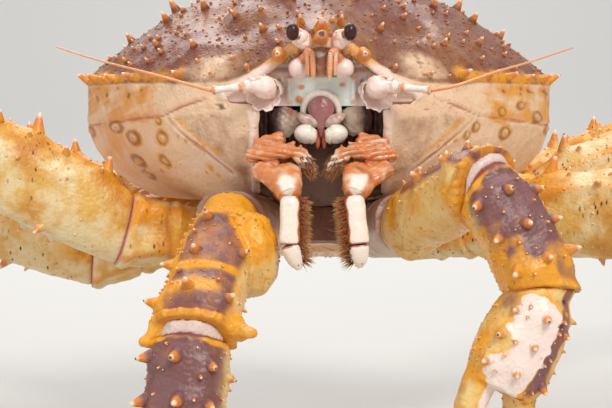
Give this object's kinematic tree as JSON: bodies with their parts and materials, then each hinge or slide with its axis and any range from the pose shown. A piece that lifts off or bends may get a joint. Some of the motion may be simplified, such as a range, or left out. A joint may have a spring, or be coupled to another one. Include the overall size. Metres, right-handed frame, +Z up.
{
  "type": "red king crab",
  "caption": "Life-size still model of a red king crab: spiny domed back, jointed spined legs, two unequal claws, face with eyes, feelers and mouthparts.",
  "frame": {"origin": "on the floor, under the middle of the bounding box", "axes": "+X towards the crab's left side, along the spread of its legs; -Y the way it faces; +Z up"},
  "size_m": [0.936, 0.5294, 0.2148],
  "materials": {
    "back_shell": "hard chitin, satin, brown-red with pale spine tips",
    "leg_shell": "hard chitin, satin, yellow and cream with brown streaks",
    "claw_shell": "hard chitin, satin, purple-brown with orange edges",
    "pale_shell": "thin pale shell, satin cream",
    "mouthparts": "orange shell fading to white, with bristles",
    "lip": "wet pink flesh and white teeth",
    "feelers": "orange and pinkish white, satin",
    "eye_black": "dark glossy cornea"
  },
  "bodies": {
    "root": {"abdomen_base": "pale_shell", "abdomen_flap": "pale_shell", "antenna_base_left": "feelers", "antenna_base_right": "feelers", "antenna_whip_left": "feelers", "antenna_whip_right": "feelers", "antennule_left": "feelers", "antennule_right": "feelers", "carapace": "back_shell", "claw_left_carpus": "claw_shell", "claw_left_finger": "claw_shell", "claw_left_hip": "leg_shell", "claw_left_merus": "claw_shell", "claw_left_palm": "claw_shell", "claw_right_carpus": "claw_shell", "claw_right_finger": "claw_shell", "claw_right_hip": "leg_shell", "claw_right_merus": "claw_shell", "claw_right_palm": "claw_shell", "eye_left": "eye_black", "eye_right": "eye_black", "eyestalk_left": "pale_shell", "eyestalk_right": "pale_shell", "faceplate": "pale_shell", "inner_jaw_leg_left": "mouthparts", "inner_jaw_leg_right": "mouthparts", "leg_1_left_carpus": "leg_shell", "leg_1_left_dactyl": "leg_shell", "leg_1_left_hip": "leg_shell", "leg_1_left_merus": "leg_shell", "leg_1_left_propodus": "leg_shell", "leg_1_right_carpus": "leg_shell", "leg_1_right_dactyl": "leg_shell", "leg_1_right_hip": "leg_shell", "leg_1_right_merus": "leg_shell", "leg_1_right_propodus": "leg_shell", "leg_2_left_carpus": "leg_shell", "leg_2_left_dactyl": "leg_shell", "leg_2_left_hip": "leg_shell", "leg_2_left_merus": "leg_shell", "leg_2_left_propodus": "leg_shell", "leg_2_right_carpus": "leg_shell", "leg_2_right_dactyl": "leg_shell", "leg_2_right_hip": "leg_shell", "leg_2_right_merus": "leg_shell", "leg_2_right_propodus": "leg_shell", "leg_3_left_carpus": "leg_shell", "leg_3_left_dactyl": "leg_shell", "leg_3_left_hip": "leg_shell", "leg_3_left_merus": "leg_shell", "leg_3_left_propodus": "leg_shell", "leg_3_right_carpus": "leg_shell", "leg_3_right_dactyl": "leg_shell", "leg_3_right_hip": "leg_shell", "leg_3_right_merus": "leg_shell", "leg_3_right_propodus": "leg_shell", "mouth": "lip", "outer_jaw_leg_left": "mouthparts", "outer_jaw_leg_right": "mouthparts", "thorax": "pale_shell"}
  },
  "joints": []
}
